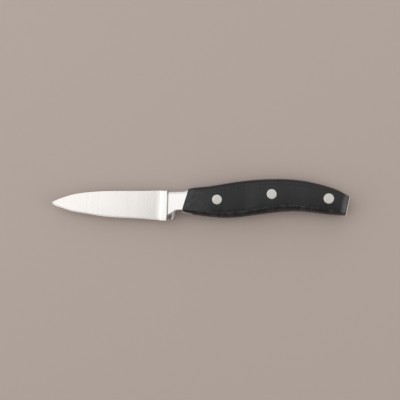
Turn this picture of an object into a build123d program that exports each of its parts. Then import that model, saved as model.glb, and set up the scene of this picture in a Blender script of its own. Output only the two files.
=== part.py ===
from build123d import *
import math
import os

# A small forged paring knife lying on its side: tip towards -X, butt towards +X, spine towards +Y, and
# one handle scale above the other along Z. While the pieces are built, z = 0 is the middle of the
# blade's thickness and y = 0 is the centre line between the handle's back and the heel of the edge.

# Blade
blade_length = 80.3            # ridge of the bolster to the tip
spine_height = 6.4             # spine at the heel, above the centre line
heel_height = 20.8             # spine to cutting edge at the heel
spine_thickness = 2.0          # at the heel
tip_thickness = 0.5
shoulder_thickness = 0.5       # where the ground bevel of the cutting edge starts
bevel_height = 0.9             # height of that bevel
bevel_share = 0.4              # most of the blade's height that the bevel takes near the point
point_height = 0.35            # what is left of the blade at its very tip

# Bolster
ridge_x = -23.4                # front of the ridge across the blade's heel
ridge_lean = 0.7               # the guard's end of the ridge lies this much nearer the tip
ridge_rise = 0.9               # crest of the ridge above the neck
ridge_land = 0.3               # flat crest of the ridge
cove_angle = 42                # slope of the rise from the blade's side up to the ridge, in degrees
cove_radius = 3.0              # hollow at the foot of that rise
step_length = 1.0              # small hollow behind the ridge, down to the neck
neck_thickness = 7.2           # behind the ridge
neck_height = 5.95             # top of the neck above the centre line
neck_waist = 6.4               # from the ridge to where the neck's top starts to rise
guard_depth = 13.9             # bottom of the guard below the centre line, at the ridge
guard_length = 5.5             # ridge to the guard's rear face, at its bottom
guard_slope = 0.4              # how much higher the guard's bottom is there
notch_lean = 0.8               # top of the finger notch's wall lies this much further back
notch_share = 0.74             # radius of the finger notch as a share of its height
bolster_round = 3.3            # rounding along the edges of neck and guard

# Handle
joint_x = -8.4                 # top end of the slanted joint between bolster and scales
joint_height = 7.4             # that end above the centre line
joint_run = 4.8                # the lower end of the joint lies this much nearer the blade
joint_drop = 15.3              # and this much lower
joint_corner_radius = 1.8      # lower front corner of the scales
lip_length = 7.2               # steel lip of the bolster under that corner
lip_fall = 1.9                 # the scales meet it in a small upright step at its rear end
handle_length = 111.8          # top end of the joint to the butt
handle_crest = 14.4            # highest point of the back above the centre line
belly_depth = 12.7             # lowest point of the belly below the centre line
handle_thickness = 15.6
taper_length = 28.4            # from the joint to where the sides become flat
blend_length = 22.0            # from the joint to where the crease along the underside is complete
tang_thickness = 2.6
tang_overhang = 0.8            # tang beyond the scales at the butt
butt_height = 2.0              # upper corner of the butt above the centre line
butt_depth = 11.05             # lower corner of the butt below the centre line
butt_lean = 2.7                # the lower corner of the butt lies this much nearer the tip
butt_corner_radius = 0.8
butt_corner_run = 4.5          # belly beside that corner, which still falls a little towards the butt
butt_corner_fall = 0.45
butt_round = 5.6               # length of the rounded rear end of each scale's side
butt_land = 4.4                # half the handle's thickness at that end
back_round = 4.2               # rounding along the back, seen from the side
belly_round = 3.4              # crease to underside along the belly, seen from the side
edge_land = 0.4                # upright strip of each scale beside the tang
grind_allowance = 0.05         # taken off the sides when they are ground flat

# Rivets: a solid pin pressed into a sleeve, with a flush head on each side
front_rivet_diameter = 6.6
middle_rivet_diameter = 6.7
rear_rivet_diameter = 7.0
head_depth = 2.4               # seat of the heads under the flat side
sleeve_diameter = 4.4
pin_diameter = 2.8
sleeve_gap = 0.5               # end of the sleeve to the underside of the pin's head
pin_gap = 0.6                  # end of the pin to the floor of the sleeve
press_clearance = 0.02         # pin in sleeve, on the radius
head_clearance = 0.03          # head in its counterbore, on the radius
hole_clearance = 0.1           # sleeve in scales and tang, on the radius

overrun = 6.0                  # how far cutting shapes run past what they cut

side = handle_thickness / 2
rough_side = side + grind_allowance
seat = side - head_depth
land_top = tang_thickness / 2 + edge_land
butt_x = joint_x + handle_length
flat_x = joint_x + taper_length
corner_x = joint_x - joint_run
corner_y = joint_height - joint_drop

# Blade outline. Each row holds the share of the blade's length from the ridge, then how far the spine
# and the cutting edge lie below the heel's end of the spine, as shares of the heel height.
blade_shares = [
    (0.000, 0.000, 1.000),
    (0.160, 0.012, 0.954),
    (0.367, 0.017, 0.910),
    (0.575, 0.029, 0.846),
    (0.714, 0.072, 0.758),
    (0.834, 0.154, 0.673),
    (0.904, 0.240, 0.584),
    (0.954, 0.312, 0.520),
    (0.986, 0.366, 0.452),
]
tip_share = 0.392
blade_sections = 24
handle_sections = 22

# Sections of the handle. Each row holds the share of the handle's length from the joint, and the
# heights of back and belly as shares of the crest's height and the belly's depth.
joint_shares = [
    (-0.055, 0.424, 0.728),
    (-0.027, 0.444, 0.736),
    (0.004, 0.524, 0.783),
]
handle_shares = [
    (0.086, 0.611, 0.890),
    (0.235, 0.785, 1.000),
    (0.384, 0.938, 0.882),
    (0.533, 1.000, 0.709),
    (0.682, 0.944, 0.642),
    (0.831, 0.708, 0.780),
    (0.943, 0.392, 0.866),
    (1.023, 0.028, 0.882),
]

# Rivet centres as shares of the handle's length, the crest's height and the rivet's own diameter.
rivets = [
    ("front", 0.1745, 0.010, front_rivet_diameter),
    ("middle", 0.5105, 0.269, middle_rivet_diameter),
    ("rear", 0.861, 0.055, rear_rivet_diameter),
]


# Side of the neck and of the handle's front: one long arc that runs out into the flat side.
def sweep_radius():
    rise = rough_side - neck_thickness / 2
    run = flat_x - ridge_x
    return (run ** 2 + rise ** 2) / (2 * rise)


def side_height(x):
    if x >= flat_x:
        return rough_side
    radius = sweep_radius()
    return rough_side - radius + math.sqrt(radius ** 2 - (flat_x - x) ** 2)


def blade_section(top, bottom, share):
    spine = (spine_thickness + (tip_thickness - spine_thickness) * share) / 2
    length = (bottom - top).length
    up = (top - bottom) / length
    shoulder_point = bottom + up * min(bevel_height, bevel_share * length)
    shoulder = Vector(0, 0, min(shoulder_thickness / 2, spine))
    back = Vector(0, 0, spine)
    corners = [top + back, shoulder_point + shoulder, bottom, shoulder_point - shoulder, top - back]
    return make_face(Polyline(*corners, close=True))


def make_blade():
    spine_points = []
    edge_points = []
    for length_share, spine_share, edge_share in blade_shares:
        x = ridge_x - blade_length * length_share
        spine_points.append((x, spine_height - heel_height * spine_share))
        edge_points.append((x - ridge_lean * (1 - length_share), spine_height - heel_height * edge_share))
    tip = spine_height - heel_height * tip_share
    spine_points.append((ridge_x - blade_length, tip + point_height / 2))
    edge_points.append((ridge_x - blade_length, tip - point_height / 2))
    spine_line = Spline(*spine_points)
    edge_line = Spline(*edge_points)
    sections = []
    for i in range(blade_sections + 1):
        share = i / blade_sections
        sections.append(blade_section(spine_line @ share, edge_line @ share, share))
    return loft(sections, ruled=True)


# Height of the neck's side above the middle, this far from its underside.
def neck_side(inset):
    height = neck_thickness / 2
    if inset >= bolster_round:
        return height
    return height - bolster_round + math.sqrt(bolster_round ** 2 - (bolster_round - inset) ** 2)


# One lengthwise section of the collar: hollow rise from the blade, crest, and the small hollow behind.
def collar_section(y):
    down = (spine_height - y) / (spine_height + guard_depth)
    x = ridge_x - ridge_lean * down
    blade_side = (spine_thickness + (shoulder_thickness - spine_thickness) * down) / 2
    foot_height = neck_side(y + guard_depth)
    crest = foot_height + ridge_rise
    corner = (x - (crest - blade_side) / math.tan(math.radians(cove_angle)), blade_side)
    start = (corner[0] - cove_radius / 2, blade_side)
    cove = FilletPolyline(start, corner, (x, crest), radius=cove_radius)
    land_end = (x + ridge_land, crest)
    foot = (x + ridge_land + step_length, foot_height)
    upper = cove.edges() + [
        Line((x, crest), land_end),
        TangentArc(foot, land_end, tangent=(-1, 0)),
    ]
    lower = [mirror(edge, about=Plane.XZ) for edge in upper]
    ends = [
        Line(start, (start[0], -blade_side)),
        Line(foot, (foot[0], -foot_height)),
    ]
    outline = make_face(upper + lower + ends)
    return Plane(origin=(0, y, 0), x_dir=(1, 0, 0), z_dir=(0, -1, 0)) * outline


def make_collar():
    insets = (guard_depth + spine_height, bolster_round, bolster_round / 2, bolster_round / 8, 0)
    return loft([collar_section(inset - guard_depth) for inset in insets], ruled=True)


def handle_point(length_share, height):
    return joint_x + handle_length * length_share, height


# Neck and guard, seen from the side. Back and belly run on behind the joint as they do on the handle.
def bolster_outline():
    rows = joint_shares + handle_shares[:2]
    back_points = [(ridge_x, neck_height), (ridge_x + neck_waist, neck_height)]
    back_points += [handle_point(share, handle_crest * back) for share, back, belly in rows]
    belly_points = [handle_point(share, -belly_depth * belly) for share, back, belly in rows[1:]]
    guard_front = (ridge_x - ridge_lean, -guard_depth)
    guard_rear = (ridge_x + guard_length, guard_slope - guard_depth)
    notch_top = (guard_rear[0] + notch_lean, belly_points[0][1])
    back = Spline(*back_points)
    rear = Line(back_points[-1], belly_points[-1])
    belly = Spline(*reversed(belly_points), tangents=[(-1, 0), (-1, 0)])
    notch_radius = notch_share * (notch_top[1] - guard_rear[1])
    guard = Line(guard_front, guard_rear)
    notch = FilletPolyline(guard_rear, notch_top, belly_points[0], radius=notch_radius)
    front = Line(guard_front, back_points[0])
    return make_face([back, rear, belly, guard] + notch.edges() + [front])


def make_bolster():
    start = (ridge_x - overrun, side_height(ridge_x - overrun))
    flat = (flat_x, rough_side)
    sweep = RadiusArc(start, flat, sweep_radius())
    rest = Polyline(flat, (flat_x, 0), (start[0], 0), start)
    profile = Plane.XZ * make_face([sweep] + rest.edges())
    half = extrude(profile, handle_crest + belly_depth, both=True) & extrude(bolster_outline(), rough_side + overrun)
    for belly_side in (True, False):
        edges = [edge for edge in half.edges() if is_long_edge(edge, belly_side)]
        half = fillet(edges, bolster_round)
    return half + mirror(half, about=Plane.XY)


# The upper edges of the half bolster along its underside, or else along its back: all are curved.
def is_long_edge(edge, belly_side):
    middle = edge.center()
    curved = edge.geom_type != GeomType.LINE
    high = middle.Z > neck_thickness / 4
    return curved and high and middle.X > ridge_x and (middle.Y < 0) == belly_side


# One section across the handle, from a point of its back to one of its belly. At the joint its corners
# are rounded as the bolster's are. Further back the underside is a larger round, upright beside the
# tang, that meets the side in a crease.
def handle_section(back, belly):
    x = (back.X + belly.X) / 2
    down = (belly - back).normalized()
    blend = min(1, max(0, (x - joint_x) / blend_length))
    height = side_height(x)
    land = (height - bolster_round) * (1 - blend) + land_top * blend
    back_inset = bolster_round * (1 - blend) + back_round * blend
    belly_inset = bolster_round * (1 - blend) + belly_round * blend
    rise = height - land
    half_way = math.sqrt(0.5)
    radius = (belly_inset ** 2 + rise ** 2) / (2 * belly_inset)
    half_turn = math.asin(min(1, rise / radius)) / 2
    up = Vector(0, 0, 1)
    back_middle = back + down * (back_inset * (1 - half_way)) + up * (land + rise * half_way)
    belly_middle = belly - down * (radius * (1 - math.cos(half_turn))) + up * (land + radius * math.sin(half_turn))
    back_top = back + down * back_inset + up * height
    crease = belly - down * belly_inset + up * height
    upper = [
        ThreePointArc(back + up * land, back_middle, back_top),
        Line(back_top, crease),
        ThreePointArc(crease, belly_middle, belly + up * land),
    ]
    lower = [mirror(edge, about=Plane.XY) for edge in upper]
    ends = [
        Line(back - up * land, back + up * land),
        Line(belly + up * land, belly - up * land),
    ]
    return make_face(upper + lower + ends)


# The whole handle as it is ground, before it is divided into tang and scales.
def make_handle():
    rows = joint_shares + handle_shares
    back_line = Spline(*[handle_point(share, handle_crest * back) for share, back, belly in rows])
    belly_line = Spline(*[handle_point(share, -belly_depth * belly) for share, back, belly in rows])
    sections = []
    for i in range(handle_sections + 1):
        share = i / handle_sections
        sections.append(handle_section(back_line @ share, belly_line @ share))
    return loft(sections) & extrude(handle_region(), side, both=True)


# A plan area that reaches past the handle on every side.
def handle_region():
    front = ridge_x - overrun
    rear = butt_x + overrun
    high = handle_crest + overrun
    low = -guard_depth - overrun
    return make_face(Polyline((front, high), (rear, high), (rear, low), (front, low), close=True))


# Everything in front of the leaning butt, whose lower corner is rounded.
def butt_region(inset):
    lean = butt_lean / (butt_height + butt_depth)
    high = handle_crest + overrun
    low = -belly_depth - overrun
    top = (butt_x - inset + lean * (high - butt_height), high)
    corner = (butt_x - inset - butt_lean, -butt_depth)
    inner = (corner[0] - butt_corner_run, -butt_depth - butt_corner_fall)
    rear = FilletPolyline(top, corner, inner, radius=butt_corner_radius)
    rest = Polyline(inner, (inner[0], low), (ridge_x - overrun, low), (ridge_x - overrun, high), top)
    return make_face(rear.edges() + rest.edges())


# Everything behind the slanted joint, whose lower corner is rounded over the bolster's lip.
def scale_region():
    high = handle_crest + overrun
    low = -belly_depth - overrun
    slope = joint_run / joint_drop
    top = (corner_x + slope * (high - corner_y), high)
    lip = (corner_x + lip_length, corner_y - lip_fall)
    joint = FilletPolyline(top, (corner_x, corner_y), lip, radius=joint_corner_radius)
    rest = Polyline(lip, (lip[0], low), (butt_x + overrun, low), (butt_x + overrun, high), top)
    return make_face(joint.edges() + rest.edges())


# Rounded rear end of the scales, drawn along the leaning butt.
def butt_rounding():
    end_x = butt_x - tang_overhang
    length = handle_crest + belly_depth + overrun
    turn = math.degrees(math.atan(butt_lean / (butt_height + butt_depth)))
    start = (end_x, butt_land)
    top = (end_x - butt_round, side)
    back = ridge_x - overrun
    arc = TangentArc(top, start, tangent=(1, 0))
    rest = Polyline(start, (end_x, 0), (back, 0), (back, side), top)
    profile = Plane.XZ * make_face([arc] + rest.edges())
    half = extrude(profile, length, both=True)
    whole = half + mirror(half, about=Plane.XY)
    pivot = Pos(butt_x, butt_height)
    return pivot * Rot(0, 0, -turn) * pivot.inverse() * whole


def column(x, y, diameter, bottom, top):
    return Pos(x, y, bottom) * Cylinder(diameter / 2, top - bottom, align=(Align.CENTER, Align.CENTER, Align.MIN))


def rivet_place(length_share, height_share):
    return joint_x + handle_length * length_share, handle_crest * height_share


def make_rivet_holes():
    holes = []
    for name, length_share, height_share, diameter in rivets:
        x, y = rivet_place(length_share, height_share)
        top = side + overrun
        holes.append(column(x, y, sleeve_diameter + 2 * hole_clearance, -top, top))
        holes.append(column(x, y, diameter + 2 * head_clearance, seat, top))
        holes.append(column(x, y, diameter + 2 * head_clearance, -top, -seat))
    return holes


def make_rivet(body, length_share, height_share, diameter):
    x, y = rivet_place(length_share, height_share)
    top = side + overrun
    pin = column(x, y, diameter, seat, top) & body
    pin = pin + column(x, y, pin_diameter, pin_gap - seat, seat)
    sleeve = column(x, y, diameter, -top, -seat) & body
    sleeve = sleeve + column(x, y, sleeve_diameter, -seat, seat - sleeve_gap)
    sleeve = sleeve - column(x, y, pin_diameter + 2 * press_clearance, -seat, seat)
    return pin, sleeve


def main():
    handle = make_handle()
    holes = make_rivet_holes()
    tang_layer = extrude(butt_region(0), tang_thickness / 2, both=True)
    behind_joint = extrude(scale_region(), side + overrun, both=True)
    before_butt = extrude(butt_region(tang_overhang), side + overrun, both=True)
    above_tang = Pos(0, 0, tang_thickness / 2) * extrude(handle_region(), side)

    tang = handle & tang_layer
    for hole in holes:
        tang = tang - hole
    bolster = make_bolster() - behind_joint
    steel = make_blade() + make_collar() + bolster + tang

    grip = handle & behind_joint & before_butt & butt_rounding()
    upper_scale = grip & above_tang
    lower_scale = grip & mirror(above_tang, about=Plane.XY)
    for hole in holes:
        upper_scale = upper_scale - hole
        lower_scale = lower_scale - hole

    pieces = {"forged_blade": steel, "upper_scale": upper_scale, "lower_scale": lower_scale}
    for name, length_share, height_share, diameter in rivets:
        pin, sleeve = make_rivet(handle, length_share, height_share, diameter)
        pieces[name + "_rivet_pin"] = pin
        pieces[name + "_rivet_sleeve"] = sleeve

    # The origin is under the middle of the whole outline, on the flat side that the knife lies on.
    box = Compound(list(pieces.values())).bounding_box()
    home = Pos(-(box.min.X + box.max.X) / 2, -(box.min.Y + box.max.Y) / 2, side)
    os.makedirs("parts", exist_ok=True)
    for name, piece in pieces.items():
        print(name, round(piece.volume, 1), piece.is_valid, len(piece.solids()))
        export_step(home * piece, f"parts/{name}.step")
    print("outline", box.size, "moved by", home.position)


main()
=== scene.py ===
# A small forged paring knife lying on its side, tip to the left, on a plain pale floor.
# Every shape below is worked out in the knife's own millimetres: z = 0 is the middle of the blade's
# thickness and y = 0 the centre line. toFrame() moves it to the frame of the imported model, in metres.
import math

import bpy
import numpy as np
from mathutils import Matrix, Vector


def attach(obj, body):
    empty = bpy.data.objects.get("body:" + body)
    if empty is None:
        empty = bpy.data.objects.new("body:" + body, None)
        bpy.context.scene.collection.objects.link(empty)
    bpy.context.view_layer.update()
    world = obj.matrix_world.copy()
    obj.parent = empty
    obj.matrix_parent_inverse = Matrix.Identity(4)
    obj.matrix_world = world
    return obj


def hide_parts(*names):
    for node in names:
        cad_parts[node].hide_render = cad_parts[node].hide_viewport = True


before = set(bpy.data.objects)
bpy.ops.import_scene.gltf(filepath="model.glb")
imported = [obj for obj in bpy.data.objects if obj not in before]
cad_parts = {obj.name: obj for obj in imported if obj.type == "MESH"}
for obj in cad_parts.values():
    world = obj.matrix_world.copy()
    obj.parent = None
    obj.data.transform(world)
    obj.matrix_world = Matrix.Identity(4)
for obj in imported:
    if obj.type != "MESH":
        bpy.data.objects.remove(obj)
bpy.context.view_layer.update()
print("stage: frame loaded")

frameShift = np.array([0.136, -0.0355, 7.8])  # from the knife's own millimetres to the frame


def toFrame(points):
    return (points + frameShift) * 0.001


# Smooth curve through the rows of (place, value), read at the places in "at": a cubic in every span,
# with slope and bend that agree where spans meet, and no bend at the two ends.
def smoothCurve(rows, at):
    knots = np.array(rows, float)
    x, y = knots[:, 0], knots[:, 1]
    step = np.diff(x)
    slope = np.diff(y) / step
    inner = np.arange(1, len(x) - 1)
    system = np.eye(len(x))
    system[inner, inner - 1] = step[:-1]
    system[inner, inner] = 2 * (step[:-1] + step[1:])
    system[inner, inner + 1] = step[1:]
    right = np.zeros(len(x))
    right[1:-1] = 6 * np.diff(slope)
    bend = np.linalg.solve(system, right)
    at = np.clip(at, x[0], x[-1])
    i = np.clip(np.searchsorted(x, at) - 1, 0, len(x) - 2)
    after = (at - x[i]) / step[i]
    before = 1 - after
    curved = (before ** 3 - before) * bend[i] + (after ** 3 - after) * bend[i + 1]
    return before * y[i] + after * y[i + 1] + curved * step[i] ** 2 / 6


# From 0 at "low" to 1 at "high", as 3 t^2 - 2 t^3 of the share t of the way between them.
def ease(value, low, high):
    share = np.clip((value - low) / (high - low), 0, 1)
    return share * share * (3 - 2 * share)


# A value along the knife: it begins at "start", and each change adds its amount between two places.
def valueAlong(x, start, *changes):
    value = start
    for amount, low, high in changes:
        value = value + amount * ease(x, low, high)
    return value


# The smaller of two heights, with the corner between them rounded over about "soft".
def softMin(a, b, soft):
    return 0.5 * (a + b - np.sqrt((a - b) ** 2 + soft ** 2))


# From 0 to 1 at "count" places that crowd towards both ends.
def crowded(count):
    return 0.5 * (1 - np.cos(np.pi * np.linspace(0, 1, count)))


# From 0 to 1 at "count" places that crowd towards 0.
def crowdedAtStart(count, power=1.8):
    return np.linspace(0, 1, count) ** power


outline = dict(
    ridgeX=-23.4,            # front of the ridge, at the back
    ridgeLean=0.7,           # at the edge the ridge lies this much nearer the tip
    tipX=-103.7,
    guardBottom=-13.9,
    buttTop=(103.4, 2.0),
    buttLow=(100.7, -11.05),
    tangShows=0.8,           # tang beyond the scales at the butt
    # blade: back and cutting edge
    spine=[
        (-103.7, -1.60), (-102.58, -1.21), (-100.0, -0.09), (-96.0, 1.41), (-90.37, 3.20),
        (-80.73, 4.90), (-69.57, 5.80), (-52.87, 6.05), (-36.25, 6.15), (-23.4, 6.40), (-22.0, 6.42),
    ],
    edge=[
        (-103.7, -1.92), (-102.60, -3.00), (-100.0, -4.42), (-96.06, -5.75), (-90.5, -7.60),
        (-80.9, -9.37), (-69.87, -11.20), (-53.3, -12.53), (-36.84, -13.44), (-28.4, -14.15),
        (-26.6, -14.32), (-24.8, -14.33), (-22.0, -13.9),
    ],
    # neck and handle: back, belly, and how far inside the belly the crease of the side lies
    back=[
        (-23.4, 6.22), (-17.0, 6.22), (-14.55, 6.32), (-11.42, 6.56), (-7.95, 7.55), (1.215, 8.80),
        (17.87, 11.30), (34.53, 13.51), (51.19, 14.40), (67.85, 13.59), (84.50, 10.20), (97.03, 5.65),
        (105.97, 0.40),
    ],
    belly=[
        (-14.55, -9.25), (-11.42, -9.35), (-7.95, -9.94), (1.215, -11.30), (17.87, -12.70),
        (34.53, -11.20), (51.19, -9.00), (67.85, -8.15), (84.50, -9.91), (97.03, -11.00),
        (105.97, -11.20),
    ],
    crease=[
        (-24, 2.4), (-13, 2.4), (-8, 2.7), (1, 3.2), (20, 3.8), (38, 4.3), (56, 4.4), (66, 4.1),
        (73, 3.6), (84, 3.2), (96, 2.6), (106, 2.5),
    ],
)


def backY(x):
    return smoothCurve(outline["back"], x)


def bellyY(x):
    return smoothCurve(outline["belly"], x)


def creaseInset(x):
    return smoothCurve(outline["crease"], x)


sideShape = dict(
    neckHalf=3.6,
    handleHalf=7.76,
    flatFrom=20.0,           # the side rises towards the butt up to here
    neckCrown=0.10,          # how much lower the side is at back and belly than in the middle
    handleCrown=0.60,
    crownGrows=(-14, 12),    # from the one to the other
    crownReach=1.3,          # the crown's parabola ends at this share of half the height
    creaseSoft=0.10,
)


# Height of the flat side: a parabola along the knife that runs out at flatFrom, less a crown across it.
def sideZ(x, y):
    s = sideShape
    run, rise = s["flatFrom"] - outline["ridgeX"], s["handleHalf"] - s["neckHalf"]
    level = s["handleHalf"] - rise * (np.maximum(s["flatFrom"] - x, 0) / run) ** 2
    middle = (backY(x) + bellyY(x)) / 2
    half = (backY(x) - bellyY(x)) / 2
    crown = s["neckCrown"] + (s["handleCrown"] - s["neckCrown"]) * ease(x, *s["crownGrows"])
    across = np.clip((y - middle) / half, -s["crownReach"], s["crownReach"])
    return level - crown * across ** 2


# Edges of the side. Where a list is given, it begins with the value at the ridge, and each row after
# it holds an amount that is added and the two places between which it comes in.
edgeShape = dict(
    backInset=[4.2, (0.2, -8, 16), (-2.2, 76, 100)],    # how far the rolled back reaches onto the side
    neckRoll=3.1,                                       # on the neck it falls this much
    backLand=1.7,                                       # on the handle it ends at this height
    backLandFrom=(-10, 14),
    bellyLand=[0.9, (0.5, -20, -8), (0.3, -8, 14)],
    palmSoft=1.6,                                       # the crease is rounder where the palm lies
    palmStarts=(4, 18),
    palmEnds=(28, 42),
)


# Half the height of the upright strip beside the tang, along the back and along the belly.
def backLand(x):
    onHandle = ease(x, *edgeShape["backLandFrom"])
    onNeck = sideZ(x, 0 * x) - edgeShape["neckRoll"]
    return onNeck * (1 - onHandle) + edgeShape["backLand"] * onHandle


def bellyLand(x):
    return valueAlong(x, *edgeShape["bellyLand"])


# Underside: part of a circle that stands upright at the belly and meets the side in the crease.
def undersideZ(inside, inset, land, top):
    rise = top - land
    radius = (inset ** 2 + rise ** 2) / (2 * inset)
    inside = np.clip(inside, 0, radius)
    return land + np.sqrt(np.maximum(radius ** 2 - (radius - inside) ** 2, 0))


# Back: a quarter of an ellipse from the upright strip onto the side.
def rollBack(z, x, y):
    inset = valueAlong(x, *edgeShape["backInset"])
    land = backLand(x)
    share = np.clip((inset - (backY(x) - y)) / inset, 0, 1)
    return land + (z - land) * np.sqrt(np.maximum(1 - share ** 2, 0))


guardShape = dict(
    startSlope=0.62,         # the rounding begins at a line with this slope,
    startHeight=4.3,         # which is this high where x is 0
    comesIn=(15.5, 18.0),    # stretch of -x over which the rounding comes in
    bottomHalf=0.35,
    paintedShade=(0.6, 0.05, 0.5),   # painted shade, standing in for a dark reflection: most of it, and the shares of the way down where it begins and is full
    rimDrop=0.25,            # narrow rim beside the notch: its place below the side
    rimWidth=0.3,
    rimSlope=2,
    rimSoft=0.15,
    creaseSoft=0.4,          # added rounding of the crease along the guard's rear edge
    creaseAlong=(16.5, 18.5),
)


# Share of the way down the guard's rounding, which begins at a line that slants down to the ridge.
def guardShare(x, y):
    g = guardShape
    start = g["startSlope"] * x + g["startHeight"]
    return np.clip((start - y) / (start - outline["guardBottom"]), 0, 1) * ease(-x, *g["comesIn"])


# Guard: the side turns down to its bottom edge along a parabola.
def rollGuard(z, x, y):
    return z - (z - guardShape["bottomHalf"]) * guardShare(x, y) ** 2


def creaseSoftness(x):
    e = edgeShape
    palm = ease(x, *e["palmStarts"]) * (1 - ease(x, *e["palmEnds"]))
    return sideShape["creaseSoft"] + e["palmSoft"] * palm


# Height of the handle behind the finger notch, over the blade's middle plane: the smaller one of the
# side and the underside's circle, with the corner between them rounded, rolled over at the back.
def handleZ(x, y):
    side = sideZ(x, y)
    inset = creaseInset(x)
    corner = sideZ(x, bellyY(x) + inset)
    under = undersideZ(y - bellyY(x), inset, bellyLand(x), corner)
    return rollBack(softMin(side, under, creaseSoftness(x)), x, y)


# Joins points that lie in one place, to four decimals of a millimetre.
def weld(points, faces):
    first, joined = np.unique(np.round(points[:, :3], 4), axis=0, return_index=True, return_inverse=True)[1:]
    return points[first], joined.reshape(-1)[faces]


# The four corners of every cell, from the numbers of the points in rows and columns.
def cellCorners(index):
    return np.stack([index[:-1, :-1], index[1:, :-1], index[1:, 1:], index[:-1, 1:]], -1).reshape(-1, 4)


# A patch is an array of x, y, z and wear over rows and columns. Patches that share an edge have the
# same points there and are welded. The height field is closed by the same surface turned over at
# lowerZ, and by upright walls along its free edges.
def closedShell(patches, lowerZ):
    points, faces, kinds, offset = [], [], [], 0
    for patch, kind in patches:
        rows, columns = patch.shape[1:]
        quads = cellCorners(np.arange(rows * columns).reshape(rows, columns)) + offset
        flat = patch.reshape(patch.shape[0], -1).T
        corners = flat[quads - offset, :2]
        diagonals = corners[:, 2] - corners[:, 0], corners[:, 3] - corners[:, 1]
        area = diagonals[0][:, 0] * diagonals[1][:, 1] - diagonals[0][:, 1] * diagonals[1][:, 0]
        faces.append(quads if area.sum() > 0 else quads[:, ::-1])
        kinds.append(np.full(len(quads), kind))
        points.append(flat)
        offset += rows * columns
    points, faces = weld(np.concatenate(points), np.concatenate(faces))
    kinds, count = np.concatenate(kinds), len(points)
    ahead = np.roll(faces, -1, axis=1)
    start, end = faces.reshape(-1), ahead.reshape(-1)
    owner = np.repeat(kinds, 4)
    real = start != end
    start, end, owner = start[real], end[real], owner[real]
    free = ~np.isin(start * count + end, end * count + start)
    start, end, owner = start[free], end[free], owner[free]
    lower = points.copy()
    lower[:, 2] = lowerZ(points)
    walls = np.stack([start, start + count, end + count, end], -1)
    every = np.concatenate([faces, faces[:, ::-1] + count, walls])
    return *weld(np.concatenate([points, lower]), every), np.concatenate([kinds, kinds, owner])


# Puts points (x, y and z in millimetres, and wear, which also carries painted light and painted shade) and
# faces into a mesh. Faces with two corners in one place become triangles, and those with fewer than three
# corners left go out.
def makePiece(name, points, faces, kinds, materials, sharpAngle=28):
    same = faces == np.roll(faces, -1, axis=1)
    keep = {0: (1, 2, 3), 1: (0, 2, 3), 2: (0, 1, 3), 3: (0, 1, 2)}
    groups, groupKinds = [faces[~same.any(1)]], [kinds[~same.any(1)]]
    for place, columns in keep.items():
        chosen = same[:, place] & (same.sum(1) == 1)
        groups.append(faces[chosen][:, columns])
        groupKinds.append(kinds[chosen])
    lists = [face for group in groups for face in group.tolist()]
    mesh = bpy.data.meshes.new(name)
    mesh.from_pydata(toFrame(points[:, :3]).tolist(), [], lists)
    mesh.polygons.foreach_set("material_index", np.concatenate(groupKinds).astype(np.int32))
    wear = mesh.attributes.new("wear", "FLOAT", "POINT")
    wear.data.foreach_set("value", points[:, 3].astype(np.float32))
    mesh.polygons.foreach_set("use_smooth", np.ones(len(lists), bool))
    mesh.update()
    mesh.set_sharp_from_angle(angle=math.radians(sharpAngle))
    for material in materials:
        mesh.materials.append(material)
    piece = bpy.data.objects.new(name, mesh)
    bpy.context.scene.collection.objects.link(piece)
    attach(piece, "root")
    print("stage:", name, "has", len(lists), "faces")
    return piece


# Adds a shader node with its settings, and the values or links of its inputs.
def addNode(tree, kind, inputs=None, **settings):
    node = tree.nodes.new("ShaderNode" + kind)
    for name, value in settings.items():
        setattr(node, name, value)
    for name, value in (inputs or {}).items():
        if isinstance(value, bpy.types.NodeSocket):
            tree.links.new(value, node.inputs[name])
        else:
            node.inputs[name].default_value = value
    return node


def compute(tree, operation, *values, clamp=False):
    inputs = dict(enumerate(values))
    return addNode(tree, "Math", inputs, operation=operation, use_clamp=clamp).outputs[0]


def remap(tree, value, low, high, newLow=0.0, newHigh=1.0, kind="LINEAR"):
    inputs = {"Value": value, "From Min": low, "From Max": high, "To Min": newLow, "To Max": newHigh}
    return addNode(tree, "MapRange", inputs, interpolation_type=kind).outputs["Result"]


def blendColours(tree, share, first, second):
    inputs = {0: share, 6: first, 7: second}
    return addNode(tree, "Mix", inputs, data_type="RGBA").outputs[2]


def noiseValue(tree, vector, detail, roughness):
    inputs = {"Vector": vector, "Scale": 1.0, "Detail": detail, "Roughness": roughness}
    return addNode(tree, "TexNoise", inputs).outputs["Fac"]


# Sum of values, each times its own share, on top of "total" where that is given.
def weighted(tree, *parts, total=None):
    for value, share in parts:
        part = compute(tree, "MULTIPLY", value, share)
        total = part if total is None else compute(tree, "ADD", total, part)
    return total


# A node group that takes a vector and some plain numbers and puts out masks.
def newGroup(name, numbers, masks):
    tree = bpy.data.node_groups.new(name, "ShaderNodeTree")
    tree.interface.new_socket("Vector", in_out="INPUT", socket_type="NodeSocketVector")
    for label in numbers:
        tree.interface.new_socket(label, in_out="INPUT", socket_type="NodeSocketFloat")
    for label in masks:
        tree.interface.new_socket(label, in_out="OUTPUT", socket_type="NodeSocketFloat")
    return tree, tree.nodes.new("NodeGroupInput").outputs, tree.nodes.new("NodeGroupOutput").inputs


# Vector times 1000 / size, so that one cell of a pattern is "size" millimetres.
def inMillimetres(tree, vector, size):
    scale = compute(tree, "DIVIDE", 1000.0, size)
    return addNode(tree, "VectorMath", {0: vector, "Scale": scale}, operation="SCALE").outputs[0]


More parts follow.
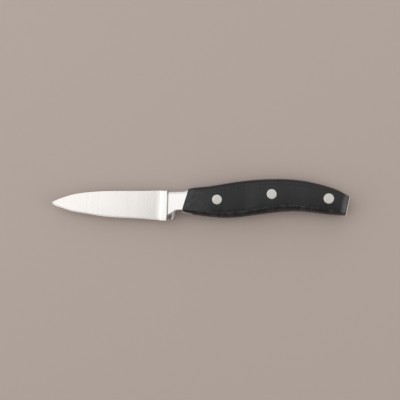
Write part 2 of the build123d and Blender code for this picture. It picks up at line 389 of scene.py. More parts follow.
# Brushed metal: noise stretched along Y, once for the single lines and once for wider bands of them.
def makeBrushedLines(contrast=(0.3, 0.7), bandScale=(0.11, 0.35, 0.35)):
    tree, given, result = newGroup("brushedLines", ["Line Width", "Line Length"], ["Lines", "Bands"])
    across = compute(tree, "DIVIDE", 1000.0, given["Line Width"])
    along = compute(tree, "DIVIDE", 1000.0, given["Line Length"])
    stretch = addNode(tree, "CombineXYZ", {"X": across, "Y": along, "Z": along}).outputs[0]
    lines = addNode(tree, "VectorMath", {0: given["Vector"], 1: stretch}, operation="MULTIPLY").outputs[0]
    bands = addNode(tree, "VectorMath", {0: lines, 1: bandScale}, operation="MULTIPLY").outputs[0]
    single = noiseValue(tree, lines, detail=3.0, roughness=0.6)
    joined = noiseValue(tree, bands, detail=2.0, roughness=0.6)
    tree.links.new(remap(tree, single, *contrast), result["Lines"])
    tree.links.new(remap(tree, joined, *contrast), result["Bands"])
    return tree


# Wear along edges, which along some edges and parts of the handle is also painted light, and painted shade
# where it is fed the wear value turned over: the piece's own wear value, broken up by noise.
def makeWearAndPaintedShading(spread=1.2, level=-0.85, limits=(0.35, 0.95)):
    tree, given, result = newGroup("wearAndPaintedShading", ["Wear", "Patch Size", "Amount"], ["Mask"])
    placed = inMillimetres(tree, given["Vector"], given["Patch Size"])
    noise = noiseValue(tree, placed, detail=4.0, roughness=0.65)
    uneven = compute(tree, "MULTIPLY_ADD", noise, spread, level)
    raised = compute(tree, "ADD", compute(tree, "ADD", given["Wear"], uneven), given["Amount"])
    mask = compute(tree, "MULTIPLY", remap(tree, raised, *limits, kind="SMOOTHSTEP"), given["Wear"])
    tree.links.new(mask, result["Mask"])
    return tree


# Soft irregular patches, as handling and wiping leave them.
def makeSoftMarks(limits=(0.42, 0.68)):
    tree, given, result = newGroup("softMarks", ["Patch Size", "Amount"], ["Mask"])
    placed = inMillimetres(tree, given["Vector"], given["Patch Size"])
    noise = noiseValue(tree, placed, detail=5.0, roughness=0.6)
    mask = compute(tree, "MULTIPLY", remap(tree, noise, *limits, kind="SMOOTHSTEP"), given["Amount"])
    tree.links.new(mask, result["Mask"])
    return tree


# Small specks: the middles of scattered cells, of which chance keeps only some.
def makeSpecks(limits=(0.55, 0.95)):
    tree, given, result = newGroup("specks", ["Spacing", "Speck Size", "Amount"], ["Mask"])
    placed = inMillimetres(tree, given["Vector"], given["Spacing"])
    cells = addNode(tree, "TexVoronoi", {"Vector": placed, "Scale": 1.0})
    reach = compute(tree, "DIVIDE", given["Speck Size"], given["Spacing"])
    away = compute(tree, "DIVIDE", cells.outputs["Distance"], reach)
    near = compute(tree, "SUBTRACT", 1.0, away, clamp=True)
    chance = addNode(tree, "SeparateColor", {"Color": cells.outputs["Color"]}).outputs[0]
    mask = compute(tree, "MULTIPLY", near, remap(tree, chance, *limits))
    tree.links.new(compute(tree, "MULTIPLY", mask, given["Amount"]), result["Mask"])
    return tree


effects = dict(lines=makeBrushedLines(), wear=makeWearAndPaintedShading(), marks=makeSoftMarks(), specks=makeSpecks())


def useEffect(tree, name, **inputs):
    node = addNode(tree, "Group", node_tree=effects[name])
    for label, value in inputs.items():
        label = label.replace("_", " ").title()
        if isinstance(value, bpy.types.NodeSocket):
            tree.links.new(value, node.inputs[label])
        else:
            node.inputs[label].default_value = value
    return node.outputs


# A new material: its tree, the Principled shader, Object coordinates turned about Z, and the wear value,
# which also carries painted light along some edges and on parts of the handle, and is below zero where shade
# is painted into corners and hollows.
def newMaterial(name, turn=0.0):
    material = bpy.data.materials.new(name)
    material.use_nodes = True
    tree = material.node_tree
    place = addNode(tree, "TexCoord").outputs["Object"]
    turned = addNode(tree, "Mapping", {"Vector": place, "Rotation": (0, 0, math.radians(turn))}).outputs[0]
    wear = addNode(tree, "Attribute", attribute_name="wear").outputs["Fac"]
    return material, tree, tree.nodes["Principled BSDF"], turned, wear


def finish(tree, shader, colour, roughness, height, depth):
    tree.links.new(colour, shader.inputs["Base Color"])
    tree.links.new(roughness, shader.inputs["Roughness"])
    bump = addNode(tree, "Bump", {"Height": height, "Distance": depth * 0.001, "Strength": 1.0})
    tree.links.new(bump.outputs[0], shader.inputs["Normal"])


# One steel for each way that metal is ground here: dark colour in the valleys and light colour on the
# crests of the lines, roughness of crests and of valleys, size of the lines and depth of the relief in
# millimetres, and the turn of the lines away from Y in degrees.
steelLooks = dict(
    blade=dict(
        dark=(0.815, 0.79, 0.763), light=(0.845, 0.823, 0.797), rough=(0.25, 0.28),
        width=0.22, length=24.0, depth=0.0007, turn=0,
    ),
    bevel=dict(
        dark=(0.80, 0.77, 0.745), light=(0.96, 0.935, 0.915), rough=(0.30, 0.46),
        width=0.14, length=1.2, depth=0.006, turn=12,
    ),
    bolster=dict(
        dark=(0.735, 0.72, 0.70), light=(0.785, 0.773, 0.755), rough=(0.19, 0.27),
        width=0.15, length=7.0, depth=0.0025, turn=0,
    ),
    tang=dict(
        dark=(0.80, 0.785, 0.765), light=(0.90, 0.89, 0.87), rough=(0.20, 0.32),
        width=0.15, length=9.0, depth=0.005, turn=90,
    ),
    rivet=dict(
        dark=(0.66, 0.635, 0.605), light=(0.77, 0.745, 0.715), rough=(0.33, 0.46),
        width=0.16, length=6.0, depth=0.005, turn=38,
    ),
)
# What every steel has: rubbed edges, which along some edges are also a painted highlight, painted shade in
# corners and hollows, and faint marks of wiping. A patch is in millimetres, and a share says how much of the
# colour is taken.
steelUse = dict(
    lineShare=0.45,          # part of the single lines in the tone, and part of their bands
    bandShare=0.55,
    # rubbed edges, and a painted highlight along the notch's crease and the joint
    edge=(0.9, 0.892, 0.88, 1),
    edgeWearAndHighlightShare=0.6,
    edgePatch=2.0,
    edgeAmount=0.55,
    # painted shade: the dark colour taken where the wear value is below zero, in the step behind the ridge,
    # down the guard's rounding and under the notch
    paintedShade=(0.10, 0.085, 0.075, 1),
    paintedShadeShare=0.85,
    paintedShadePatch=0.8,
    paintedShadeAmount=0.6,
    paintedShadeRough=0.3,
    markPatch=14.0,
    markRough=0.015,
)


def makeSteel(name):
    look, use = steelLooks[name], steelUse
    material, tree, shader, vector, wear = newMaterial("steel_" + name, look["turn"])
    shader.inputs["Metallic"].default_value = 1.0
    raised = compute(tree, "ADD", wear, 0.0, clamp=True)
    paintedShadeLevel = compute(tree, "MULTIPLY", wear, -1.0, clamp=True)
    lines = useEffect(tree, "lines", vector=vector, line_width=look["width"], line_length=look["length"])
    marks = useEffect(tree, "marks", vector=vector, patch_size=use["markPatch"], amount=1.0)["Mask"]
    edges = useEffect(
        tree, "wear", vector=vector, wear=raised,
        patch_size=use["edgePatch"], amount=use["edgeAmount"])["Mask"]
    # Painted shade where the wear value is below zero.
    paintedShade = useEffect(
        tree, "wear", vector=vector, wear=paintedShadeLevel,
        patch_size=use["paintedShadePatch"], amount=use["paintedShadeAmount"])["Mask"]
    tone = weighted(tree, (lines["Lines"], use["lineShare"]), (lines["Bands"], use["bandShare"]))
    colour = blendColours(tree, tone, (*look["dark"], 1), (*look["light"], 1))
    # Lighter steel on rubbed edges, and as a painted highlight along the crease and the joint.
    colour = blendColours(tree, compute(tree, "MULTIPLY", edges, use["edgeWearAndHighlightShare"]), colour, use["edge"])
    colour = blendColours(tree, compute(tree, "MULTIPLY", paintedShade, use["paintedShadeShare"]), colour, use["paintedShade"])
    smooth, coarse = look["rough"]
    roughness = remap(tree, compute(tree, "SUBTRACT", 1.0, tone), 0.0, 1.0, smooth, coarse)
    roughness = weighted(tree, (marks, use["markRough"]), (paintedShade, use["paintedShadeRough"]), total=roughness)
    finish(tree, shader, colour, roughness, lines["Lines"], look["depth"])
    return material


handleLook = dict(
    colour=(0.0015, 0.0017, 0.0022, 1),
    faded=(0.0160, 0.0172, 0.0205, 1),   # lighter streaks and handled patches
    fadedShare=0.3,                      # of the lines, of their bands and of the patches alike
    rubbedAndPaintedLight=(0.115, 0.115, 0.118, 1),     # rubbed along the edges, and painted light on the handle's front, the rounded end, the underside and along the crease
    dust=(0.12, 0.115, 0.105, 1),
    rough=(0.22, 0.35),
    unevenness=(0.2, 0.8),               # values of pores and lines that get these two
    poreRough=0.7,                       # part of the pores in the roughness, and part of the lines
    lineRough=0.3,
    polish=0.08,                         # how much smoother the places of that mask are
    refraction=1.47,
    grain=0.14,                          # pores of the moulded surface, in millimetres
    depth=0.004,
    lineDepth=0.10,                      # of the lines, as a share of the pores' depth
    lineWidth=0.6,
    lineLength=14.0,
    markPatch=22.0,
    wearPatch=3.0,
    wearAmount=0.35,
    speckSpacing=5.5,
    speckSize=0.26,
    speckAmount=0.8,
)


def makeHandleBlack():
    look = handleLook
    material, tree, shader, vector, wear = newMaterial("black_handle")
    shader.inputs["IOR"].default_value = look["refraction"]
    lines = useEffect(
        tree, "lines", vector=vector, line_width=look["lineWidth"], line_length=look["lineLength"])
    marks = useEffect(tree, "marks", vector=vector, patch_size=look["markPatch"], amount=1.0)["Mask"]
    # Rubbed edges, and painted light on the front, the rounded end, the underside and the crease.
    edges = useEffect(
        tree, "wear", vector=vector, wear=wear,
        patch_size=look["wearPatch"], amount=look["wearAmount"])["Mask"]
    dust = useEffect(
        tree, "specks", vector=vector, spacing=look["speckSpacing"],
        speck_size=look["speckSize"], amount=look["speckAmount"])["Mask"]
    pores = noiseValue(tree, inMillimetres(tree, vector, look["grain"]), detail=2.0, roughness=0.6)
    fadedBy = [(value, look["fadedShare"]) for value in (lines["Lines"], lines["Bands"], marks)]
    tone = weighted(tree, *fadedBy)
    colour = blendColours(tree, tone, look["colour"], look["faded"])
    colour = blendColours(tree, edges, colour, look["rubbedAndPaintedLight"])
    colour = blendColours(tree, dust, colour, look["dust"])
    uneven = weighted(tree, (pores, look["poreRough"]), (lines["Lines"], look["lineRough"]))
    roughness = remap(tree, uneven, *look["unevenness"], *look["rough"])
    roughness = compute(tree, "SUBTRACT", roughness, compute(tree, "MULTIPLY", edges, look["polish"]))
    height = weighted(tree, (lines["Lines"], look["lineDepth"]), total=pores)
    finish(tree, shader, colour, roughness, height, look["depth"])
    return material


steels = {name: makeSteel(name) for name in steelLooks}
handleBlack = makeHandleBlack()
print("stage: materials made")

# How many rows and columns the surfaces have. The scales' own counts are in scaleShape.
grid = dict(
    blade=180,
    bladeSpacing=(0.3, 0.7),     # even part of its columns' spacing, and part that grows from the tip
    flat=60,                     # rows from the back to the shoulder of the bevel
    bevel=14,
    cove=60,
    coveBrushed=34,              # columns of the cove that have the blade's finish
    step=15,
    guard=24,
    notch=78,
    lip=36,
    under=28,
    upperCorner=24,              # rounded corner of the joint, above and below the crease
    lowerCorner=16,
    tang=150,
    tangEnd=16,
    tangRows=28,
    belly=110,
    buttCorner=14,
    endPower=1.6,                # how strongly columns crowd towards an end
)
# Wear beside edges: its most, and its width in millimetres. Painted shade in a corner is below zero; along
# the steel's crease and joint the wear is also a painted highlight, and along the scale's crease and on its
# underside painted light.
wearBands = dict(
    spine=(0.6, 0.3), crest=(0.3, 0.3), step=(-0.9, 0.45), crease=(1.0, 0.35), joint=(1.0, 0.2),
    tangEnd=(0.4, 0.4), hole=(0.5, 0.3), scaleCreaseWearAndHighlight=(0.55, 0.5), scaleJoint=(0.2, 0.3),
    underCreasePaintedLight=(0.13, 0.5), rivetRim=(1.0, 0.3),
)


# Wear as a bell curve of the distance to its edge.
def worn(kind, distance):
    most, width = wearBands[kind]
    return most * np.exp(-(distance / width) ** 2)


# Blade and bolster. The sheet of points runs from the tip over the hollow and the ridge to the neck.
bladeShape = dict(
    spineHalf=1.0,           # half the blade's thickness along its back, at the heel
    tipHalf=0.25,
    shoulderHalf=0.13,       # where the ground bevel of the edge starts
    edgeHalf=0.012,
    bevel=0.9,
    bevelAtHeel=1.9,
    bevelGrows=(-42, -27),
    bevelMost=0.4,           # of the blade's height, near the tip
    spineRound=0.12,
    spineRoundMost=0.8,      # of half the thickness, near the tip
    coveLength=8.0,
    coveFade=2.8,            # from its front end the rise comes in over this length
    coveAngle=42,            # slope of the rise in front of the ridge
    coveSoft=0.55,           # rounding at the foot of that rise
    heelGrind=(1.9, 0.35),   # the edge's grinding runs on over the ridge: height and depth there
    ridgeRise=0.6,
    ridgeLand=0.3,
    ridgeColumns=(0.22, 0.78),
    ridgeRound=(0.4, 0.2),   # the crest is lower at the back: height and depth there
    ridgeCorner=0.05,        # drop from the crest to its two edges
    stepLength=0.95,
    stepTurn=74,             # part of the ellipse, in degrees
    stepBlend=0.6,           # share of its length in which the back changes from blade to neck
    stepPaintedShade=0.55,           # share of its length at which shade is painted into its foot
    edgeRound=0.16,          # steel along the joint with the scales
)
# Finger notch: its silhouette and, beside each of those points, the crease of the side.
notchRows = dict(
    silhouetteX=[-18.7, -17.95, -17.75, -17.35, -16.45, -15.05, -14.0, -13.0, -12.71],
    silhouetteY=[-13.60, -13.25, -12.60, -11.65, -10.50, -9.65, -9.36, -9.25, -9.25],
    creaseX=[-20.3, -20.0, -19.7, -19.25, -18.35, -16.95, -14.6, -13.0, -12.71],
    creaseY=[-13.70, -12.7, -11.4, -9.9, -8.15, -6.98, -6.84, -6.85, -6.85],
)
neckShape = dict(
    ribsTurn=(0.6, 1),       # share of the neck's length in which the ribs turn to the joint's slant
    underSlope=1.2,          # rise of the underside's surface above the crease
    underFade=3,             # it fades in the last third of the notch
    paintedShade=(0.65, 0.1, 0.7),   # painted shade under the notch: most of it, and where it begins and is full
)
joint = dict(
    top=(-8.4, 7.4),
    corner=(-13.2, -7.9),
    lip=(-6.0, -9.8),        # end of the steel lip under the scales' front corner
    radius=1.8,
    gap=0.05,
)


# Points along a line of corners, at shares of its length.
def alongLine(corners, shares):
    corners = np.array(corners, float)
    lengths = np.append(0, np.cumsum(np.hypot(*np.diff(corners, axis=0).T)))
    return np.stack([np.interp(shares * lengths[-1], lengths, corners[:, i]) for i in (0, 1)])


# Distance of points to a line of corners.
def distanceTo(x, y, corners):
    corners = np.array(corners, float)
    start, run = corners[:-1], np.diff(corners, axis=0)
    shape = (-1,) + (1,) * np.ndim(x)
    awayX, awayY = x - start[:, 0].reshape(shape), y - start[:, 1].reshape(shape)
    runX, runY = run[:, 0].reshape(shape), run[:, 1].reshape(shape)
    share = np.clip((awayX * runX + awayY * runY) / (runX ** 2 + runY ** 2), 0, 1)
    return np.hypot(awayX - share * runX, awayY - share * runY).min(axis=0)


# How far the surface of a rounded edge lies below the sharp one, this far inside it.
def edgeDrop(inside, radius):
    missing = np.clip(radius - inside, 0, radius)
    return radius - np.sqrt(radius ** 2 - missing ** 2)


# The joint between bolster and scales: a slanted line, a rounded corner and the lip, in two parts
# that meet where the crease does.
def jointCorners():
    top, corner, lip = (np.array(joint[name], float) for name in ("top", "corner", "lip"))
    up, back = ((end - corner) / np.hypot(*(end - corner)) for end in (top, lip))
    halfTurn = math.acos(float(up @ back)) / 2
    middle = corner + (up + back) / np.hypot(*(up + back)) * joint["radius"] / math.sin(halfTurn)
    reach = joint["radius"] / math.tan(halfTurn)
    ends = [corner + up * reach - middle, corner + back * reach - middle]
    first, last = (math.atan2(end[1], end[0]) % (2 * math.pi) for end in ends)
    creaseTurn = math.pi + math.asin((middle[1] - notchRows["creaseY"][-1]) / joint["radius"])
    above = np.linspace(first, creaseTurn, grid["upperCorner"])
    below = np.linspace(creaseTurn, last, grid["lowerCorner"])
    arcs = [middle + joint["radius"] * np.stack([np.cos(turn), np.sin(turn)], 1) for turn in (above, below)]
    top[1] = backY(top[0])
    return np.concatenate([top[None], arcs[0]]), np.concatenate([arcs[1], lip[None]])


jointUpper, jointLower = jointCorners()
lipFoot = np.array([joint["lip"][0], float(bellyY(joint["lip"][0]))])
jointWhole = np.concatenate([jointUpper, jointLower[1:], lipFoot[None]])
# The notch ends at the joint, and its silhouette runs into the belly there.
for kind in ("silhouette", "crease"):
    notchRows[kind + "X"][-1] = jointLower[0, 0]
notchRows["creaseY"][-1] = jointLower[0, 1]
notchRows["silhouetteY"][-2:] = bellyY(np.array(notchRows["silhouetteX"][-2:])).tolist()


# Smooth curve through the rows of the notch, at shares of their number.
def notchPath(kind, shares):
    place = np.arange(len(notchRows["creaseX"]))
    at = shares * place[-1]
    return np.stack([smoothCurve(np.stack([place, notchRows[kind + axis]], 1), at) for axis in "XY"])


# Rounding of the crease, wider along the guard's rear edge.
def notchSoftness(x):
    return sideShape["creaseSoft"] + guardShape["creaseSoft"] * ease(-x, *guardShape["creaseAlong"])


# Neck and guard without the rear rim: the side, turned down at the guard and rolled over at the back.
def neckZ(x, y):
    return rollBack(rollGuard(sideZ(x, y), x, y), x, y)


# Guard and its rear rim: beside the notch's crease a narrow rim stays up while the guard turns down.
def rimmedZ(x, y, toRim):
    g = guardShape
    rim = sideZ(x, y) - g["rimDrop"] - g["rimSlope"] * np.maximum(toRim - g["rimWidth"], 0)
    return -softMin(-rollGuard(sideZ(x, y), x, y), -rim, g["rimSoft"])


# Blade: x runs from the tip to the hollow and y from back to edge. Half its thickness falls in a
# straight line from back to shoulder, then in a steeper one to the edge, and the back is rounded.
def bladePatches():
    s = bladeShape
    even, growing = grid["bladeSpacing"]
    share = np.linspace(0, 1, grid["blade"])[None]
    share = share * (even + growing * share)
    endX = outline["ridgeX"] - s["coveLength"]
    topX = outline["tipX"] + (endX - outline["tipX"]) * share
    lowX = topX - outline["ridgeLean"] * share
    top, bottom = smoothCurve(outline["spine"], topX), smoothCurve(outline["edge"], lowX)
    bevel = s["bevel"] + (s["bevelAtHeel"] - s["bevel"]) * ease(topX, *s["bevelGrows"])
    bevelShare = np.minimum(bevel / (top - bottom), s["bevelMost"])
    flatDown = crowded(grid["flat"])[:, None] * (1 - bevelShare)
    bevelDown = 1 - bevelShare * (1 - crowded(grid["bevel"])[1:, None])
    down = np.concatenate([flatDown, bevelDown])
    x, y = topX + (lowX - topX) * down, top + (bottom - top) * down
    thin = np.clip((outline["ridgeX"] - topX) / (outline["ridgeX"] - outline["tipX"]), 0, 1)
    spine = s["spineHalf"] + (s["tipHalf"] - s["spineHalf"]) * thin
    flat = spine + (s["shoulderHalf"] - spine) * down / (1 - bevelShare)
    ground = s["edgeHalf"] + (s["shoulderHalf"] - s["edgeHalf"]) * (1 - down) / bevelShare
    spineRound = np.minimum(s["spineRound"], s["spineRoundMost"] * spine)
    z = np.where(down >= 1 - bevelShare, ground, flat) - edgeDrop(top - y, spineRound)
    sheet = np.stack([x, y, z, worn("spine", top - y)])
    return sheet[:, :grid["flat"]], sheet[:, grid["flat"] - 1:], down[:, -1:]


# Rise in front of the ridge: the larger one of the blade's side and a straight slope, with the corner
# between them rounded over. Behind the ridge's narrow crest a small hollow, part of an ellipse, runs
# down to the neck. The crest is lower where it is rounded at the back and ground at the heel.
def ridgePatch(down, low):
    s = bladeShape
    ahead = s["coveLength"] * (np.linspace(0, 1, grid["cove"]) - 1)
    land = s["ridgeLand"] * np.array(s["ridgeColumns"])
    turn = np.radians(np.linspace(s["stepTurn"], 0, grid["step"]))
    fall = s["ridgeLand"] + s["stepLength"] * (1 - np.sin(turn) / np.sin(turn[0]))
    rise = (1 - np.cos(turn)) / (1 - np.cos(turn[0]))
    place = np.concatenate([ahead, land, fall])[None]
    x = outline["ridgeX"] - outline["ridgeLean"] * down + place
    behind = ease(place, s["ridgeLand"], s["ridgeLand"] + s["stepBlend"] * s["stepLength"])
    top = smoothCurve(outline["spine"], x[:1]) * (1 - behind) + backY(x[:1]) * behind
    y = top + (smoothCurve(outline["edge"], x[-1:]) - top) * down
    footX, footY = x[:, -1:], y[:, -1:]
    foot = neckZ(footX, footY)
    roundHeight, roundDepth = s["ridgeRound"]
    corner = roundDepth * np.clip(1 - (y[:1, -1:] - footY) / roundHeight, 0, 1) ** 2
    grindHeight, grindDepth = s["heelGrind"]
    corner = corner + grindDepth * np.clip(1 - (footY - y[-1:, -1:]) / grindHeight, 0, 1)
    crest = sideZ(footX, footY) + s["ridgeRise"] - corner
    edge = crest - s["ridgeCorner"]
    slope = edge - low + math.tan(math.radians(s["coveAngle"])) * ahead
    fade = ease(ahead, -s["coveLength"], s["coveFade"] - s["coveLength"])
    cove = np.minimum(low - softMin(0.0, -slope, s["coveSoft"]) * fade, edge)
    z = np.concatenate([cove, crest, crest, foot + (edge - foot) * rise], 1)
    wear = worn("crest", place - 0.5 * s["ridgeLand"]) + 0 * x
    # Below zero: painted shade in the foot of the small hollow behind the ridge.
    wear = wear + worn("step", place - s["ridgeLand"] - s["stepPaintedShade"] * s["stepLength"])
    return np.stack([x, y, z, wear])


# Side of neck and guard: straight ribs from the back down to the guard's bottom, the crease of the
# notch and the crease under the scales' corner. The last rib follows the joint. Height: the smaller
# one of the side and the circle of the underside, rolled over at the back and at the guard's bottom.
def neckPatch(down, front, notchShare):
    n, notchStart = neckShape, grid["guard"]
    crease, silhouette = notchPath("crease", notchShare), notchPath("silhouette", notchShare)
    frontLow = front[:2, -1:]
    guardLow = frontLow + (crease[:, :1] - frontLow) * np.linspace(0, 1, notchStart + 1)[:-1]
    low = np.concatenate([guardLow, crease], 1)
    steps = np.append(0, np.cumsum(np.hypot(*np.diff(low, axis=1))))
    steps = steps / steps[-1]
    topX = front[0, 0] + (jointUpper[0, 0] - front[0, 0]) * steps
    top = np.stack([topX, backY(topX)])
    x, y = top[:, None] + (low - top)[:, None] * down
    seam = alongLine(jointUpper, down[:, 0])
    straight = top[:, -1:] + (low[:, -1:] - top[:, -1:]) * down[:, 0]
    bend = (seam - straight)[:, :, None] * ease(steps, *n["ribsTurn"])
    x, y = x + bend[0], y + bend[1]
    z = rimmedZ(x, y, distanceTo(x, y, crease.T[::3]))   # every third point is near enough
    inset = np.hypot(*(crease - silhouette))
    corner = rimmedZ(*crease, 0.0)
    toLow = np.hypot(x - low[0], y - low[1])
    toCrease = toLow[:, notchStart:]
    under = undersideZ(inset + toCrease, inset, bellyLand(silhouette[0]), corner)
    under = under + n["underSlope"] * toCrease * np.clip(n["underFade"] * (1 - notchShare), 0, 1)
    z[:, notchStart:] = softMin(z[:, notchStart:], under, notchSoftness(crease[0]))
    toJoint = distanceTo(x, y, jointWhole)
    z = rollBack(z, x, y) - edgeDrop(toJoint, bladeShape["edgeRound"])
    z[:, 0] = front[2]
    paintedShade, begins, full = guardShape["paintedShade"]
    # Rubbed wear, and a painted highlight, along the crease and the joint.
    wear = np.maximum(worn("crease", toLow), worn("joint", toJoint))
    # Painted shade, standing in for a dark reflection, darkens the guard towards its bottom.
    wear = wear - paintedShade * ease(guardShare(x, y), begins, full)
    return np.stack([x, y, z, wear])


# Underside of notch and lip: ribs from the silhouette to the crease, and behind the joint's corner
# from the belly up to the joint. Height: part of a circle that stands upright at the silhouette.
def underPatch(neck, notchShare):
    crease, silhouette = notchPath("crease", notchShare), notchPath("silhouette", notchShare)
    lipShare = np.linspace(0, 1, grid["lip"])[1:]
    lipX = silhouette[0, -1] + (lipFoot[0] - silhouette[0, -1]) * lipShare
    upper = np.concatenate([crease, alongLine(jointLower, lipShare)], 1)
    lower = np.concatenate([silhouette, np.stack([lipX, bellyY(lipX)])], 1)
    rows = crowdedAtStart(grid["under"])[:, None]
    x, y = lower[:, None] + (upper - lower)[:, None] * rows
    inset = np.hypot(*(crease - silhouette))
    corner = rimmedZ(*crease, 0.0)
    notch = len(notchShare)
    under = undersideZ(inset * rows, inset, bellyLand(silhouette[0]), corner)
    side = rimmedZ(x, y, 0.0)
    notchZ = softMin(side[:, :notch], under, notchSoftness(crease[0]))
    z = np.concatenate([notchZ, handleZ(x, y)[:, notch:]], 1)
    toJoint = distanceTo(x, y, jointWhole)
    z = z - edgeDrop(toJoint, bladeShape["edgeRound"])
    z[-1, :notch] = neck[2, -1, -notch:]
    toUpper = np.hypot(x - upper[0], y - upper[1])
    paintedShade, begins, full = neckShape["paintedShade"]
    # Rubbed wear, and a painted highlight, along the crease and the joint.
    wear = np.maximum(worn("crease", toUpper), worn("joint", toJoint))
    # Painted shade on the notch's underside, away from its crease.
    wear[:, :notch] -= paintedShade * ease(toUpper[:, :notch], begins, full)
    return np.stack([x, y, z, wear])


tangShape = dict(
    half=1.3,
    edgeRound=0.25,
    cornerRadius=0.6,
    hole=2.3,
    holeRing=0.25,           # a ring of faces round each hole
    endShare=0.02,           # of its length has finer columns
)


# x of the leaning butt at a height y, "inset" in front of it.
def buttX(y, inset):
    (topX, topY), (lowX, lowY) = outline["buttTop"], outline["buttLow"]
    return topX - inset - (topY - y) * (topX - lowX) / (topY - lowY)


# How far the butt moves towards +X for each millimetre of height.
def buttLean():
    (topX, topY), (lowX, lowY) = outline["buttTop"], outline["buttLow"]
    return (topX - lowX) / (topY - lowY)


# Distance of points to the leaning line of the butt, or to one "inset" in front of it.
def buttDistance(x, y, inset=0.0):
    return np.abs(buttX(y, inset) - x) / math.hypot(1, buttLean())


# Line along the belly from startX, round the butt's lower corner.
def bellyLine(startX, inset=0.0):
    radius, lean = tangShape["cornerRadius"], buttLean()
    floor = float(bellyY(outline["buttLow"][0]))
    middle = np.array([buttX(floor + radius, inset) - radius * math.hypot(1, lean), floor + radius])
    x = np.linspace(startX, middle[0], grid["belly"])
    turn = np.linspace(-math.pi / 2, -math.atan(lean), grid["buttCorner"])[1:]
    arc = middle + radius * np.stack([np.cos(turn), np.sin(turn)], 1)
    return np.concatenate([np.stack([x, bellyY(x)], 1), arc])


# Cuts round holes into a sheet of points. The block of cells round a hole is left out, out to "margin"
# past the widest ring, and rings carry the block's border in to the hole, after rows at spreadShares
# of the way to the first of them. A ring is a radius, a drop below the surface and, where it doesn't
# follow the surface, a height.
def pierced(sheet, holes, heightOf, margin=0.7, spreadShares=(0, 0.4, 0.75)):
    parts, rest, spread = [], sheet, len(spreadShares)
    for centre, rings in holes:
        near = np.hypot(rest[0] - centre[0], rest[1] - centre[1]) < rings[0][0] + margin
        rows, columns = np.flatnonzero(near.any(1)), np.flatnonzero(near.any(0))
        top, low, left, right = rows[0] - 1, rows[-1] + 1, columns[0] - 1, columns[-1] + 1
        parts += [rest[:, :, :left + 1], rest[:, :top + 1, left:right + 1], rest[:, low:, left:right + 1]]
        border = np.concatenate([
            rest[:, top, left:right], rest[:, top:low, right], rest[:, low, right:left:-1],
            rest[:, low:top:-1, left], rest[:, top, left:left + 1],
        ], 1)
        middle = np.array(centre, float)[:, None]
        away = (border[:2] - middle) / np.hypot(*(border[:2] - middle))
        radii = np.array([ring[0] for ring in rings])
        circles = middle[:, None] + away[:, None] * radii[:, None]
        between = border[:2, None] + (circles[:, :1] - border[:2, None]) * np.array(spreadShares)[:, None]
        x, y = np.concatenate([between, circles], 1)
        z = heightOf(x, y)
        z[0] = border[2]
        z[spread:] -= np.array([ring[1] for ring in rings])[:, None]
        for row, ring in enumerate(rings):
            if len(ring) > 2:
                z[spread + row] = ring[2]
        wear = worn("hole", np.hypot(x - centre[0], y - centre[1]) - radii.max())
        parts.append(np.stack([x, y, z, wear]))
        rest = rest[:, :, right:]
    return parts + [rest]


# Tang: a plane on each side, with the outline of back, belly and butt. At the butt its edge is rounded
# with a quarter of a circle.
def tangPatches():
    t = tangShape
    finer = 1 - t["endShare"] * (1 - np.linspace(0, 1, grid["tangEnd"])[1:]) ** grid["endPower"]
    share = np.concatenate([np.linspace(0, 1 - t["endShare"], grid["tang"]), finer])
    topX = jointUpper[0, 0] + (outline["buttTop"][0] - jointUpper[0, 0]) * share
    top = np.stack([topX, np.where(share < 1, backY(topX), outline["buttTop"][1])])
    low = alongLine(bellyLine(lipFoot[0]), share)
    x, y = top[:, None] + (low - top)[:, None] * crowded(grid["tangRows"])[:, None]
    toButt = buttDistance(x, y)
    sheet = np.stack([x, y, t["half"] - edgeDrop(toButt, t["edgeRound"]), worn("tangEnd", toButt)])
    rings = [(t["hole"] + t["holeRing"], 0.0), (t["hole"], 0.0)]
    holes = [(place[:2], rings) for place in rivetShape["places"].values()]
    return pierced(sheet, holes, lambda x, y: np.full(x.shape, t["half"]))


finishOf = dict(blade=0, bevel=1, bolster=2, tang=3)     # number of a face's steel on the forging


def makeForging():
    f = finishOf
    flat, bevel, down = bladePatches()
    low = np.concatenate([flat[2, :, -1], bevel[2, 1:, -1]])[:, None]
    ridge = ridgePatch(down, low)
    notchShare = 1 - (1 - np.linspace(0, 1, grid["notch"])) ** grid["endPower"]
    neck = neckPatch(down, ridge[:, :, -1], notchShare)
    under = underPatch(neck, notchShare)
    rows, brushed = grid["flat"], grid["coveBrushed"]
    bladeParts = [
        (flat, f["blade"]), (bevel, f["bevel"]), (ridge[:, :rows, :brushed], f["blade"]),
        (ridge[:, :rows, brushed - 1:], f["bolster"]), (ridge[:, rows - 1:], f["bevel"]),
        (neck, f["bolster"]), (under, f["bolster"]),
    ]
    body = closedShell(bladeParts, lambda p: -p[:, 2])
    tang = closedShell([(part, f["tang"]) for part in tangPatches()], lambda p: -p[:, 2])
    points = np.concatenate([body[0], tang[0]])
    faces = np.concatenate([body[1], tang[1] + len(body[0])])
    kinds = np.concatenate([body[2], tang[2]])
    materials = [steels[name] for name in finishOf]
    piece = makePiece("blade_bolster_and_tang", points, faces, kinds, materials)
    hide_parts("forged_blade")


